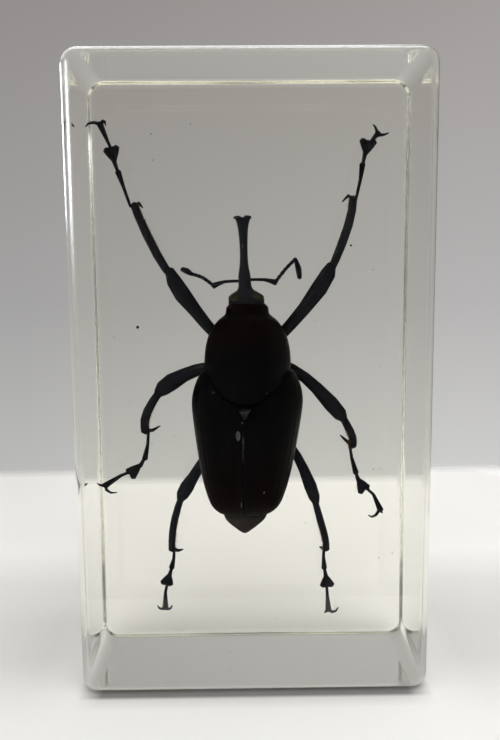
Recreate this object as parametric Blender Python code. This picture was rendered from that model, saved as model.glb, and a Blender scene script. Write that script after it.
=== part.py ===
"""A large snout weevil sealed in an upright block of clear cast resin.

The block stands on its short end, its front face towards -Y. The insect hangs
in it head up, its back towards the front and its legs spread in the plane of
the seam between the two pours of resin. The clear solid is parted at that seam,
and each half holds its side of the pocket that the insect lies in.

The origin is at the middle of the block's base. Sizes are in millimetres and
become metres when a mesh is made. The insect's left is at -X.
"""
import math

import bmesh
import bpy
from mathutils import Vector

MM = 0.001

# The block of resin
BLOCK_WIDTH = 40.9
BLOCK_DEPTH = 23.7
BLOCK_HEIGHT = 73.25
CORNER_RADIUS = 1.9
FRONT_EDGE_RADIUS = 1.3
BACK_EDGE_BREAK = 0.25
# The mould's draft: how far each side and the top have drawn in at the back
SIDE_DRAFT = 0.2
TOP_DRAFT = 0.25
CORNER_STEPS = 5
FRONT_EDGE_STEPS = 3
FRONT_FACE_Y = -BLOCK_DEPTH / 2
BACK_FACE_Y = BLOCK_DEPTH / 2
SEAM_Y = 3.0
SEAM_GAP = 0.3

# Room between the insect and the resin, and between its own plates
POCKET_ROOM = 0.4
PLATE_GAP = 0.3

# The insect's trunk: its centre line, which leans aside towards the tail, the
# depth of its widest level, and how far its back is rolled to the left per unit
TRUNK_X = -0.5
TAIL_LEAN = 0.025
TAIL_LEAN_START_Z = 36.4
TRUNK_ROLL = 0.09
TRUNK_Y = -1.0
TRUNK_SIDES = 16
WING_CASE_THICKNESS = 0.55
WING_CASE_TIP_THICKNESS = 0.35
WING_CASE_EDGE_ANGLE = math.radians(-18)

# The front shield, as height, half width, height of the back, depth of the belly
PRONOTUM_PROFILE = (
    (45.4, 2.45, 2.35, 2.2),
    (44.9, 2.75, 2.6, 2.4),
    (44.1, 2.85, 2.75, 2.6),
    (43.2, 3.75, 3.5, 3.1),
    (41.7, 4.7, 4.2, 3.6),
    (39.8, 5.15, 4.7, 3.9),
    (38.0, 5.25, 4.9, 4.1),
)
PRONOTUM_RINGS = 13
# Its rear margin bows back to the small triangle at the middle of the back
MARGIN_MIDDLE_Z = 33.6
MARGIN_SIDE_RISE = 3.4
MARGIN_SIDE_X = 5.2
MARGIN_BELLY_RISE = 3.6
MARGIN_BELLY_DEPTH = 4.0
PRONOTUM_REAR_SHRINK = 0.96
PRONOTUM_SIDE_STEP = 0.5
PRONOTUM_REAR_HOLLOW = 0.8

# The pair of wing cases, as height, half width, height of the back
WING_CASE_PROFILE = (
    (36.4, 5.75, 4.5),
    (35.3, 6.55, 4.9),
    (33.5, 6.85, 5.1),
    (30.0, 6.4, 5.1),
    (26.5, 5.85, 4.8),
    (23.5, 5.25, 4.2),
    (21.2, 4.5, 3.3),
    (20.0, 3.85, 2.6),
    (19.4, 3.1, 2.05),
)
WING_CASE_RINGS = 13
WING_CASE_BACK_POINTS = 12

# The underside of the body, as height, half width, height of the back, belly
ABDOMEN_PROFILE = (
    (36.6, 3.7, 2.9, 4.0),
    (35.0, 4.6, 3.3, 4.4),
    (32.0, 5.45, 3.8, 4.6),
    (28.0, 5.05, 3.7, 4.3),
    (24.0, 4.2, 2.95, 3.7),
    (21.4, 3.2, 1.95, 2.9),
    (20.0, 2.55, 1.35, 2.3),
    (18.9, 2.3, 0.95, 1.9),
    (18.0, 1.65, 0.65, 1.4),
    (17.2, 0.8, 0.35, 0.9),
    (16.8, 0.25, 0.15, 0.5),
)
ABDOMEN_RINGS = 15
ABDOMEN_TIP_REACH = 0.1

# The small triangle between the wing cases
SCUTELLUM_WIDTH = 1.5
SCUTELLUM_LENGTH = 1.2
SCUTELLUM_TOP_Z = 33.1
SCUTELLUM_OUTER_Y = -6.15
SCUTELLUM_INNER_Y = -5.2
SCUTELLUM_OUTER_SHARE = 0.8
SCUTELLUM_TIP_SHARE = 0.15

# Head and snout, as height, middle x, middle y, half width, half depth
HEAD_PROFILE = (
    (45.75, -0.6, -0.9, 2.1, 2.05),
    (46.3, -0.6, -0.85, 1.8, 1.9),
    (46.9, -0.65, -0.7, 1.2, 1.45),
    (47.5, -0.75, -0.5, 0.78, 0.95),
    (48.7, -0.8, -0.3, 0.76, 0.8),
    (50.2, -0.85, -0.05, 0.5, 0.6),
    (52.3, -0.87, 0.25, 0.46, 0.52),
    (54.4, -0.93, 0.6, 0.6, 0.48),
    (55.3, -0.95, 0.75, 0.82, 0.44),
)
HEAD_RINGS = 18
HEAD_SIDES = 12
SNOUT_TIP_Z = 55.7
SNOUT_TIP_HALF_WIDTH = 1.12
SNOUT_TIP_HALF_DEPTH = 0.36
SNOUT_LOBE_RISE = 0.3
SNOUT_TIP_SET_BACK = 0.05

# Antennae: a thin stalk from the snout, an elbow, seven beads and a flat club,
# as points x, y, z, with the insect's right one bent up and back
ANTENNAE = {
    "antenna_right": {
        "stalk": ((-0.3, 0.1, 48.3), (1.6, 0.7, 48.3), (3.0, 1.3, 47.95)),
        "beads": ((3.0, 1.3, 48.05), (4.2, 1.7, 49.55), (5.4, 2.0, 50.75)),
        "club": ((5.4, 2.0, 50.85), (5.8, 2.1, 49.6), (5.95, 2.2, 48.45)),
    },
    "antenna_left": {
        "stalk": ((-1.3, 0.1, 48.15), (-3.2, 0.7, 48.1), (-4.6, 1.3, 47.6)),
        "beads": ((-4.6, 1.3, 47.65), (-5.9, 1.7, 48.6), (-7.2, 2.0, 49.05)),
        "club": ((-7.1, 2.0, 48.95), (-7.8, 2.1, 49.4), (-8.45, 2.2, 49.65)),
    },
}
STALK_WIDTHS = (0.32, 0.34, 0.75)
BEAD_COUNT = 7
BEAD_WIDTH = 0.46
CLUB_WIDTHS = (0.34, 0.75, 0.5)

# Legs, as points x, z of each joint. A thigh starts inside the trunk and is
# trimmed to it. Each claw starts in the last joint of its foot. Girth is a
# leg's share of the widths that follow, and those are full widths.
LEGS = {
    "foreleg_left": {
        "thigh": ((-3.4, 40.6), (-5.0, 42.2), (-6.9, 44.6), (-9.0, 47.4), (-10.0, 49.6)),
        "shin": ((-9.8, 48.9), (-10.6, 50.0), (-12.0, 52.5), (-13.5, 55.8), (-14.1, 57.5)),
        "spur": ((-14.0, 57.3), (-13.55, 57.65), (-13.05, 57.05)),
        "first": ((-14.55, 57.2), (-15.35, 59.6), (-15.95, 61.4)),
        "second": ((-15.9, 61.2), (-16.4, 62.7)),
        "heart": ((-16.3, 62.5), (-17.3, 63.95), (-16.1, 64.25)),
        "last": ((-16.5, 63.6), (-17.1, 65.0), (-17.95, 67.0)),
        "claws": (
            ((-17.9, 66.9), (-19.0, 67.15), (-19.65, 66.6)),
            ((-17.8, 66.9), (-17.4, 67.4), (-17.25, 66.7)),
        ),
        "girth": 1.0,
    },
    "foreleg_right": {
        "thigh": ((2.6, 40.4), (4.25, 42.1), (6.6, 44.8), (9.05, 48.2), (9.9, 50.1)),
        "shin": ((9.7, 49.2), (10.5, 51.0), (11.6, 53.8), (12.3, 56.2), (12.5, 58.1)),
        "spur": ((12.6, 57.9), (11.9, 58.35), (11.15, 57.6)),
        "first": ((12.85, 57.9), (13.35, 60.2), (13.6, 62.1)),
        "second": ((13.6, 61.9), (13.9, 63.4)),
        "heart": ((13.95, 63.2), (13.6, 64.9), (14.95, 64.75)),
        "last": ((14.2, 64.2), (14.8, 65.0), (15.5, 65.7)),
        "claws": (
            ((15.3, 65.5), (15.2, 66.2), (14.8, 66.7)),
            ((15.4, 65.5), (16.0, 65.45), (16.7, 65.7)),
        ),
        "girth": 1.0,
    },
    "midleg_left": {
        "thigh": ((-4.0, 37.6), (-6.1, 37.4), (-8.4, 36.6), (-10.6, 35.35), (-11.75, 34.3)),
        "shin": ((-11.3, 34.8), (-12.5, 33.1), (-13.3, 31.5), (-13.5, 30.3), (-13.45, 29.35)),
        "spur": ((-13.3, 29.5), (-12.5, 29.6), (-11.55, 30.15)),
        "first": ((-13.05, 29.5), (-13.2, 27.7), (-13.6, 25.9)),
        "second": ((-13.6, 26.1), (-14.2, 25.0)),
        "heart": ((-14.15, 25.2), (-15.8, 24.3), (-15.2, 23.6)),
        "last": ((-15.2, 24.35), (-16.6, 23.85), (-18.75, 22.5)),
        "claws": (
            ((-18.5, 22.6), (-19.2, 22.55), (-19.7, 22.85)),
            ((-18.6, 22.6), (-18.4, 21.7), (-17.2, 21.6)),
        ),
        "girth": 1.05,
    },
    "midleg_right": {
        "thigh": ((3.6, 38.0), (5.9, 36.7), (8.1, 34.8), (10.6, 32.0), (11.5, 30.9)),
        "shin": ((11.1, 31.6), (11.9, 30.1), (12.5, 28.9), (12.75, 28.0), (12.7, 27.25)),
        "spur": ((12.6, 27.4), (11.9, 28.0), (11.1, 28.75)),
        "first": ((12.3, 27.6), (12.6, 25.8), (13.15, 23.8)),
        "second": ((13.1, 24.0), (13.45, 22.9)),
        "heart": ((13.4, 23.1), (14.65, 21.9), (13.85, 21.3)),
        "last": ((14.1, 22.2), (15.4, 21.0), (16.35, 18.9)),
        "claws": (
            ((16.2, 19.0), (15.5, 18.05), (14.75, 18.3)),
            ((16.2, 19.1), (16.35, 18.8), (16.6, 18.55)),
        ),
        "girth": 0.95,
    },
    "hindleg_left": {
        "thigh": ((-4.3, 28.2), (-6.1, 25.8), (-7.5, 23.6), (-8.65, 21.8), (-9.2, 20.7)),
        "shin": ((-8.9, 21.4), (-9.6, 19.4), (-10.1, 17.4), (-10.35, 15.6), (-10.4, 13.95)),
        "spur": ((-10.2, 14.1), (-9.6, 13.9), (-8.95, 14.05)),
        "first": ((-10.1, 14.1), (-10.2, 12.8), (-10.5, 11.6)),
        "second": ((-10.45, 11.7), (-10.8, 10.6)),
        "heart": ((-10.75, 10.8), (-11.65, 9.6), (-10.75, 9.4)),
        "last": ((-11.0, 9.9), (-11.35, 8.4), (-11.4, 6.2)),
        "claws": (
            ((-11.4, 6.4), (-12.0, 6.1), (-12.4, 6.6)),
            ((-11.4, 6.4), (-10.9, 6.05), (-10.5, 6.6)),
        ),
        "girth": 0.86,
    },
    "hindleg_right": {
        "thigh": ((3.4, 29.4), (5.2, 26.9), (6.5, 24.4), (7.6, 21.5), (8.05, 20.1)),
        "shin": ((7.75, 20.9), (8.35, 18.7), (8.9, 16.7), (9.3, 15.2), (9.4, 13.8)),
        "spur": ((9.3, 14.2), (8.9, 14.0), (8.5, 14.2)),
        "first": ((9.1, 14.1), (9.05, 12.8), (9.15, 11.3)),
        "second": ((9.15, 11.4), (9.35, 10.3)),
        "heart": ((9.35, 10.4), (9.0, 8.95), (10.1, 9.05)),
        "last": ((9.45, 9.5), (9.55, 7.8), (9.7, 5.7)),
        "claws": (
            ((9.7, 5.8), (10.45, 5.4), (11.0, 6.1)),
            ((9.7, 5.8), (9.4, 5.55), (9.2, 5.35)),
        ),
        "girth": 0.78,
    },
}
THIGH_WIDTHS = (1.35, 1.45, 1.7, 2.2, 1.1)
SHIN_WIDTHS = (0.85, 1.05, 1.1, 1.05, 1.0)
SPUR_WIDTHS = (0.5, 0.42, 0.14)
FIRST_WIDTHS = (0.34, 0.42, 0.78)
SECOND_WIDTHS = (0.34, 0.6)
HEART_WIDTHS = (0.4, 0.75, 0.9)
WEB_REACH = 0.9
LAST_WIDTHS = (0.32, 0.4, 0.85)
CLAW_WIDTHS = (0.42, 0.34, 0.14)
LIMB_SIDES = 8
THIN_SIDES = 6
LIMB_FLATNESS = 0.78
FOOT_FLATNESS = 0.7
HEART_FLATNESS = 0.5
CLAW_FLATNESS = 0.8
ANTENNA_FLATNESS = 0.9
CLUB_FLATNESS = 0.55
LIMB_END_SHARE = 0.3
THINNEST_SHIN_GIRTH = 0.85
LOBE_MIDDLE_SHARE = 0.55
BEAD_WAIST_SHARE = 0.6
# Depth of the leg joints: the knee stands a little nearer the front
HIP_Y = 2.5
KNEE_Y = 2.3
ANKLE_Y = 2.9
FOOT_Y = SEAM_Y

# The pocket in the resin: the trunk's room as height, half width, back, belly,
# and how far each limb's room reaches to the front and the back
TRUNK_ROOM_PROFILE = (
    (47.2, 2.4, 2.6, 2.4),
    (45.4, 3.4, 3.2, 3.0),
    (43.0, 4.7, 4.3, 3.8),
    (40.0, 5.9, 5.3, 5.1),
    (36.4, 6.9, 5.6, 5.3),
    (33.0, 7.55, 5.8, 5.4),
    (28.0, 6.85, 5.7, 4.9),
    (23.0, 5.9, 4.75, 4.0),
    (20.0, 4.7, 3.4, 2.9),
    (18.0, 2.9, 1.8, 2.0),
    (16.3, 1.1, 0.9, 1.2),
)
THIGH_ROOM_DEPTHS = (1.0, 3.75)
SHIN_ROOM_DEPTHS = (1.42, 3.65)
FOOT_ROOM_DEPTHS = (2.42, 3.58)
CLAW_ROOM_DEPTHS = (2.35, 3.62)
POCKET_SIDE_WALL = 0.25
STALK_ROOM_Y = -0.45
BEADS_ROOM_Y = 0.65
CLUB_ROOM_Y = 1.35
ANTENNA_ROOM_BACK_Y = 3.4

# Finishes
RESIN_COLOUR = (0.93, 0.94, 0.90)
RESIN_REFRACTION = 1.49
RESIN_ROUGHNESS = 0.02
SHELL_COLOUR = (0.012, 0.009, 0.009)
RED_SHELL_COLOUR = (0.035, 0.012, 0.010)
SHELL_ROUGHNESS = 0.28


def make_material(name, colour, roughness, transmission=0.0):
    """A Principled finish."""
    material = bpy.data.materials.new(name)
    material.use_nodes = True
    shader = material.node_tree.nodes["Principled BSDF"]
    shader.inputs["Base Color"].default_value = (*colour, 1.0)
    shader.inputs["Roughness"].default_value = roughness
    shader.inputs["Metallic"].default_value = 0.0
    shader.inputs["Transmission Weight"].default_value = transmission
    shader.inputs["IOR"].default_value = RESIN_REFRACTION
    return material


def make_object(name, mesh_data, material=None):
    """A new object in the scene, with its one finish if it has one."""
    obj = bpy.data.objects.new(name, mesh_data)
    bpy.context.scene.collection.objects.link(obj)
    if material:
        mesh_data.materials.clear()
        mesh_data.materials.append(material)
    return obj


def smooth_path(points, count):
    """Points evenly spaced in step along a Catmull-Rom curve through some tuples."""
    last = len(points) - 1
    result = []
    for step in range(count):
        place = step * last / (count - 1)
        index = min(int(place), last - 1)
        t = place - index
        before = points[max(index - 1, 0)]
        start = points[index]
        end = points[index + 1]
        after = points[min(index + 2, last)]
        result.append(tuple(
            0.5 * (2 * b + (c - a) * t + (2 * a - 5 * b + 4 * c - d) * t ** 2
                   + (3 * b - a - 3 * c + d) * t ** 3)
            for a, b, c, d in zip(before, start, end, after)))
    return result


def loft(name, rings, material=None, start_point=None, end_point=None):
    """A closed solid through rings of points, closed at a point or a flat cap."""
    mesh = bmesh.new()
    verts = [[mesh.verts.new(Vector(point) * MM) for point in ring] for ring in rings]
    sides = len(rings[0])
    for lower, upper in zip(verts, verts[1:]):
        for side in range(sides):
            after = (side + 1) % sides
            mesh.faces.new((lower[side], lower[after], upper[after], upper[side]))
    for ring, tip in ((verts[0], start_point), (verts[-1], end_point)):
        if tip is None:
            mesh.faces.new(ring)
            continue
        point = mesh.verts.new(Vector(tip) * MM)
        for side in range(sides):
            mesh.faces.new((ring[side], ring[(side + 1) % sides], point))
    bmesh.ops.recalc_face_normals(mesh, faces=mesh.faces)
    data = bpy.data.meshes.new(name)
    mesh.to_mesh(data)
    mesh.free()
    return make_object(name, data, material)


def combine(base, others, operation):
    """Joins or cuts a solid with others, which are used up."""
    for other in others:
        modifier = base.modifiers.new(operation, "BOOLEAN")
        modifier.operation = operation
        modifier.solver = "EXACT"
        modifier.object = other
    bpy.context.view_layer.update()
    graph = bpy.context.evaluated_depsgraph_get()
    data = bpy.data.meshes.new_from_object(base.evaluated_get(graph))
    base.modifiers.clear()
    base.data = data
    for other in others:
        bpy.data.objects.remove(other)
    return base


def finish_shading(obj, angle=40):
    """Smooth shading with sharp edges kept past an angle."""
    obj.data.shade_smooth()
    obj.data.set_sharp_from_angle(angle=math.radians(angle))


def half_ellipse_ring(x, y, z, half_width, back, belly, sides):
    """A level ring round the trunk, its back flatter than its belly."""
    ring = []
    for side in range(sides):
        angle = 2 * math.pi * side / sides
        height = -math.sin(angle)
        depth = back if height < 0 else belly
        ring.append((x + half_width * math.cos(angle), y + depth * height, z))
    return ring


def trunk_middle_x(z):
    """The trunk's centre line at a level, leaning aside towards the tail."""
    return TRUNK_X - TAIL_LEAN * max(TAIL_LEAN_START_Z - z, 0.0)


def rolled(ring):
    """A trunk ring with its back shifted a little to the insect's left."""
    return [(x + TRUNK_ROLL * (y - TRUNK_Y), y, z) for x, y, z in ring]


def rear_margin_z(x, y):
    """The level of the front shield's rear margin at a place on the trunk."""
    aside = min(abs(x - TRUNK_X) / MARGIN_SIDE_X, 1.0)
    down = min(max((y - TRUNK_Y) / MARGIN_BELLY_DEPTH, 0.0), 1.0)
    side_rise = MARGIN_SIDE_RISE * aside ** 2
    belly_rise = MARGIN_BELLY_RISE * down * (1 - aside ** 2)
    return MARGIN_MIDDLE_Z + side_rise + belly_rise


def make_pronotum(name, material=None, room=0.0):
    """The front shield, from its collar to its bowed rear margin."""
    rings = []
    for z, half_width, back, belly in smooth_path(PRONOTUM_PROFILE, PRONOTUM_RINGS):
        rings.append(half_ellipse_ring(
            TRUNK_X, TRUNK_Y, z, half_width + room, back + room, belly + room, TRUNK_SIDES))
    rings[0] = [(x, y, z + room) for x, y, z in rings[0]]
    rear = []
    for x, y, z in rings[-1]:
        x = TRUNK_X + (x - TRUNK_X) * PRONOTUM_REAR_SHRINK
        y = TRUNK_Y + (y - TRUNK_Y) * PRONOTUM_REAR_SHRINK
        rear.append((x, y, min(rear_margin_z(x, y), z - PRONOTUM_SIDE_STEP) - room))
    rings.append(rear)
    middle_z = rear_margin_z(TRUNK_X, TRUNK_Y) + PRONOTUM_REAR_HOLLOW - room
    middle = (TRUNK_X, TRUNK_Y, middle_z)
    return loft(name, [rolled(ring) for ring in rings], material, end_point=middle)


def make_wing_case(name, side_sign, material):
    """One wing case: a curved shell from the seam of the back to its side edge."""
    arc = math.pi / 2 - WING_CASE_EDGE_ANGLE
    top_z = WING_CASE_PROFILE[0][0]
    tip_z = WING_CASE_PROFILE[-1][0]
    rings = []
    for z, half_width, back in smooth_path(WING_CASE_PROFILE, WING_CASE_RINGS):
        share = (z - tip_z) / (top_z - tip_z)
        thickness = WING_CASE_TIP_THICKNESS
        thickness += (WING_CASE_THICKNESS - thickness) * min(4 * share, 1.0)
        outer = []
        inner = []
        for step in range(WING_CASE_BACK_POINTS):
            angle = math.pi / 2 - arc * step / (WING_CASE_BACK_POINTS - 1)
            reach = max(math.cos(angle), 0.0)
            lift = math.sin(angle)
            outer.append((PLATE_GAP / 2 + (half_width - PLATE_GAP / 2) * reach, back * lift))
            inner.append((PLATE_GAP / 2 + (half_width - thickness - PLATE_GAP / 2) * reach,
                          (back - thickness) * lift))
        section = outer + inner[::-1]
        ring = []
        for reach, lift in section:
            drop = top_z + PLATE_GAP - rear_margin_z(TRUNK_X + reach, TRUNK_Y)
            x = trunk_middle_x(z) + side_sign * reach
            ring.append((x, TRUNK_Y - lift, z - drop * share ** 3))
        rings.append(rolled(ring))
    return loft(name, rings, material)


def make_abdomen(name, material=None, room=0.0):
    """The underside of the body down to its pointed end plate."""
    rings = []
    top_z = ABDOMEN_PROFILE[0][0]
    level_z = ABDOMEN_PROFILE[2][0]
    for z, half_width, back, belly in smooth_path(ABDOMEN_PROFILE, ABDOMEN_RINGS):
        ring = half_ellipse_ring(trunk_middle_x(z), TRUNK_Y, z, half_width + room, back + room,
                                 belly + room, TRUNK_SIDES)
        share = max((z - level_z) / (top_z - level_z), 0.0)
        lowered = []
        for x, y, level in ring:
            margin = rear_margin_z(x, y) - 2 * PLATE_GAP + room
            lowered.append((x, y, level - max(top_z - margin, 0.0) * share))
        rings.append(rolled(lowered))
    middle_top = (TRUNK_X, TRUNK_Y, MARGIN_MIDDLE_Z - 2 * PLATE_GAP + room)
    tip_z = ABDOMEN_PROFILE[-1][0] - ABDOMEN_TIP_REACH - room
    tip = (trunk_middle_x(tip_z), TRUNK_Y + ABDOMEN_TIP_REACH, tip_z)
    return loft(name, rings, material, start_point=middle_top, end_point=tip)


def make_scutellum(name, material=None, room=0.0):
    """The small three-cornered plate at the front end of the back's seam."""
    half = SCUTELLUM_WIDTH / 2 + room
    top = SCUTELLUM_TOP_Z + room
    tip = SCUTELLUM_TOP_Z - SCUTELLUM_LENGTH - 2 * room
    rings = []
    tip_half = half * SCUTELLUM_TIP_SHARE
    for y, share in ((SCUTELLUM_OUTER_Y - room, SCUTELLUM_OUTER_SHARE),
                     (SCUTELLUM_INNER_Y + room, 1.0)):
        corners = ((-half, top), (half, top), (tip_half, tip), (-tip_half, tip))
        middle = (top + tip) / 2
        rings.append(rolled([(TRUNK_X + x * share, y, middle + (z - middle) * share)
                             for x, z in corners]))
    return loft(name, rings, material)


def make_head(name, material=None, room=0.0, sides=HEAD_SIDES, ring_count=HEAD_RINGS):
    """The head and the long snout, which ends in two short spread lobes."""
    rings = []
    for z, x, y, half_width, half_depth in smooth_path(HEAD_PROFILE, ring_count):
        rings.append(half_ellipse_ring(
            x, y, z, half_width + room, half_depth + room, half_depth + room, sides))
    x, y = HEAD_PROFILE[-1][1:3]
    tip = []
    for px, py, pz in half_ellipse_ring(
            x, y + SNOUT_TIP_SET_BACK, SNOUT_TIP_Z, SNOUT_TIP_HALF_WIDTH + room,
            SNOUT_TIP_HALF_DEPTH + room, SNOUT_TIP_HALF_DEPTH + room, sides):
        rise = SNOUT_LOBE_RISE * ((px - x) / SNOUT_TIP_HALF_WIDTH) ** 2
        tip.append((px, py, pz + rise + room))
    rings.append(tip)
    middle = (x, y + SNOUT_TIP_SET_BACK, SNOUT_TIP_Z + room)
    return loft(name, rings, material, end_point=middle)


def limb_piece(name, points, widths, flatness, sides, ring_count):
    """A tapering limb segment with pointed ends along points x, y, z."""
    path = smooth_path([(*point, width) for point, width in zip(points, widths)], ring_count)
    rings = []
    for index, (x, y, z, width) in enumerate(path):
        before = Vector(path[max(index - 1, 0)][:3])
        after = Vector(path[min(index + 1, len(path) - 1)][:3])
        along = (after - before).normalized()
        across = Vector((0, 1, 0)).cross(along).normalized()
        deep = along.cross(across).normalized()
        half = width / 2
        thick = half * flatness
        ring = []
        for side in range(sides):
            angle = 2 * math.pi * (side + 0.5) / sides
            ring.append(Vector((x, y, z)) + across * half * math.cos(angle)
                        + deep * thick * math.sin(angle))
        rings.append(ring)
    first = Vector(path[0][:3])
    second = Vector(path[1][:3])
    last = Vector(path[-1][:3])
    before_last = Vector(path[-2][:3])
    start = first - (second - first).normalized() * path[0][3] * LIMB_END_SHARE
    end = last + (last - before_last).normalized() * path[-1][3] * LIMB_END_SHARE
    return loft(name, rings, None, start, end)


def leg_pieces(leg):
    """The overlapping segments of one leg, each a closed solid."""
    girth = leg["girth"]
    thigh_depths = (HIP_Y, HIP_Y, (HIP_Y + KNEE_Y) / 2, KNEE_Y, KNEE_Y)
    shin_depths = (KNEE_Y, KNEE_Y, (KNEE_Y + ANKLE_Y) / 2, ANKLE_Y, ANKLE_Y)
    thigh = [(x, y, z) for (x, z), y in zip(leg["thigh"], thigh_depths)]
    shin = [(x, y, z) for (x, z), y in zip(leg["shin"], shin_depths)]
    thigh_widths = [width * girth for width in THIGH_WIDTHS]
    shin_widths = [width * max(girth, THINNEST_SHIN_GIRTH) for width in SHIN_WIDTHS]
    pieces = [
        limb_piece("thigh", thigh, thigh_widths, LIMB_FLATNESS, LIMB_SIDES, 7),
        limb_piece("shin", shin, shin_widths, LIMB_FLATNESS, LIMB_SIDES, 6),
    ]
    thin_parts = [
        ("spur", leg["spur"], SPUR_WIDTHS, CLAW_FLATNESS, 3),
        ("first", leg["first"], FIRST_WIDTHS, FOOT_FLATNESS, 3),
        ("second", leg["second"], SECOND_WIDTHS, FOOT_FLATNESS, 2),
        ("last", leg["last"], LAST_WIDTHS, FOOT_FLATNESS, 3),
    ]
    thin_parts += [("claw", claw, CLAW_WIDTHS, CLAW_FLATNESS, 4) for claw in leg["claws"]]
    root, *lobes = leg["heart"]
    web = tuple(r + WEB_REACH * ((a + b) / 2 - r) for r, a, b in zip(root, *lobes))
    for lobe in (*lobes, web):
        middle = tuple(a + LOBE_MIDDLE_SHARE * (b - a) for a, b in zip(root, lobe))
        thin_parts.append(("lobe", (root, middle, lobe), HEART_WIDTHS, HEART_FLATNESS, 3))
    for name, points, widths, flatness, ring_count in thin_parts:
        points = [(x, FOOT_Y, z) for x, z in points]
        pieces.append(limb_piece(name, points, widths, flatness, THIN_SIDES, ring_count))
    return pieces


def antenna_pieces(antenna):
    """The stalk, the beads and the club of one antenna."""
    steps = 4
    beads = smooth_path(antenna["beads"], steps * BEAD_COUNT + 1)
    bead_widths = []
    for index in range(len(beads)):
        swell = math.sin(math.pi * (index % steps) / steps)
        bead_widths.append(BEAD_WIDTH * (BEAD_WAIST_SHARE + (1 - BEAD_WAIST_SHARE) * swell))
    return [
        limb_piece("stalk", antenna["stalk"], STALK_WIDTHS, ANTENNA_FLATNESS, THIN_SIDES, 5),
        limb_piece("beads", beads, bead_widths, ANTENNA_FLATNESS, THIN_SIDES,
                   2 * BEAD_COUNT + 1),
        limb_piece("club", antenna["club"], CLUB_WIDTHS, CLUB_FLATNESS, THIN_SIDES, 5),
    ]


def rounded_outline(y, inset):
    """The block's outline seen from the front, at one depth, drawn in by an inset."""
    share = (y - FRONT_FACE_Y) / BLOCK_DEPTH
    half_width = BLOCK_WIDTH / 2 - SIDE_DRAFT * share
    height = BLOCK_HEIGHT - TOP_DRAFT * share
    radius = CORNER_RADIUS
    corners = (
        (half_width - radius, height - radius, 0),
        (-half_width + radius, height - radius, 90),
        (-half_width + radius, radius, 180),
        (half_width - radius, radius, 270),
    )
    outline = []
    for x, z, start in corners:
        for step in range(CORNER_STEPS + 1):
            angle = math.radians(start + 90 * step / CORNER_STEPS)
            reach = radius - inset
            outline.append((x + reach * math.cos(angle), z + reach * math.sin(angle)))
    return outline


def make_front_half(name, material):
    """The front of the block as far as the seam, with its rounded front edges."""
    levels = []
    for step in range(FRONT_EDGE_STEPS + 1):
        angle = math.pi / 2 * step / FRONT_EDGE_STEPS
        inset = FRONT_EDGE_RADIUS * (1 - math.sin(angle))
        levels.append((FRONT_FACE_Y + FRONT_EDGE_RADIUS * (1 - math.cos(angle)), inset))
    levels.append((SEAM_Y - SEAM_GAP / 2, 0.0))
    rings = [[(x, y, z) for x, z in rounded_outline(y, inset)] for y, inset in levels]
    return loft(name, rings, material)


def make_back_half(name, material):
    """The back of the block from the seam on, with its edges just broken."""
    levels = (
        (SEAM_Y + SEAM_GAP / 2, 0.0),
        (BACK_FACE_Y - BACK_EDGE_BREAK, 0.0),
        (BACK_FACE_Y, BACK_EDGE_BREAK),
    )
    rings = [[(x, y, z) for x, z in rounded_outline(y, inset)] for y, inset in levels]
    return loft(name, rings, material)


def trunk_room(name, sides=12):
    """Room for the trunk: one plain egg round the shield, wing cases and belly."""
    rings = []
    for z, half_width, back, belly in TRUNK_ROOM_PROFILE:
        rings.append(rolled(half_ellipse_ring(
            trunk_middle_x(z), TRUNK_Y, z, half_width, back, belly, sides)))
    return loft(name, rings)


def box_room(name, pieces, front, back):
    """A straight-sided room round some limbs, turned as the first of them lies."""
    spots = [(Vector((x, z)), width / 2) for points, widths in pieces
             for (x, z), width in zip(points, widths)]
    main_points = pieces[0][0]
    along = (Vector(main_points[-1]) - Vector(main_points[0])).normalized()
    across = Vector((-along.y, along.x))
    extents = []
    for axis in (along, across):
        extents.append((min(spot.dot(axis) - half for spot, half in spots) - POCKET_ROOM,
                        max(spot.dot(axis) + half for spot, half in spots) + POCKET_ROOM))
    (start, end), (low, high) = extents
    limit = BLOCK_WIDTH / 2 - SIDE_DRAFT - POCKET_SIDE_WALL
    corners = [along * a + across * b for a, b in
               ((start, low), (end, low), (end, high), (start, high))]
    rings = [[(min(max(corner.x, -limit), limit), y, corner.y) for corner in corners]
             for y in (front, back)]
    return loft(name, rings)


def leg_rooms(leg):
    """Four straight rooms for a leg: thigh, shin, foot and claws."""
    girth = max(leg["girth"], 1.0)
    thigh = (leg["thigh"], [width * girth for width in THIGH_WIDTHS])
    shin = (leg["shin"], SHIN_WIDTHS)
    spur = (leg["spur"], SPUR_WIDTHS)
    root, *lobes = leg["heart"]
    foot = (leg["first"] + leg["second"], FIRST_WIDTHS + SECOND_WIDTHS)
    heart = [((root, lobe), HEART_WIDTHS[1:]) for lobe in lobes]
    last = (leg["last"], LAST_WIDTHS)
    claws = [(claw, CLAW_WIDTHS) for claw in leg["claws"]]
    return [
        box_room("thigh room", [thigh], *THIGH_ROOM_DEPTHS),
        box_room("shin room", [shin, spur], *SHIN_ROOM_DEPTHS),
        box_room("foot room", [foot, *heart], *FOOT_ROOM_DEPTHS),
        box_room("claw room", [last, *claws], *CLAW_ROOM_DEPTHS),
    ]


def antenna_rooms(antenna):
    """Three straight rooms for an antenna, open towards the seam."""
    rooms = []
    for part, widths, front in (("stalk", STALK_WIDTHS, STALK_ROOM_Y),
                                ("beads", (BEAD_WIDTH,) * 3, BEADS_ROOM_Y),
                                ("club", CLUB_WIDTHS, CLUB_ROOM_Y)):
        points = [(x, z) for x, y, z in antenna[part]]
        rooms.append(box_room(part + " room", [(points, widths)], front, ANTENNA_ROOM_BACK_Y))
    return rooms


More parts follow.
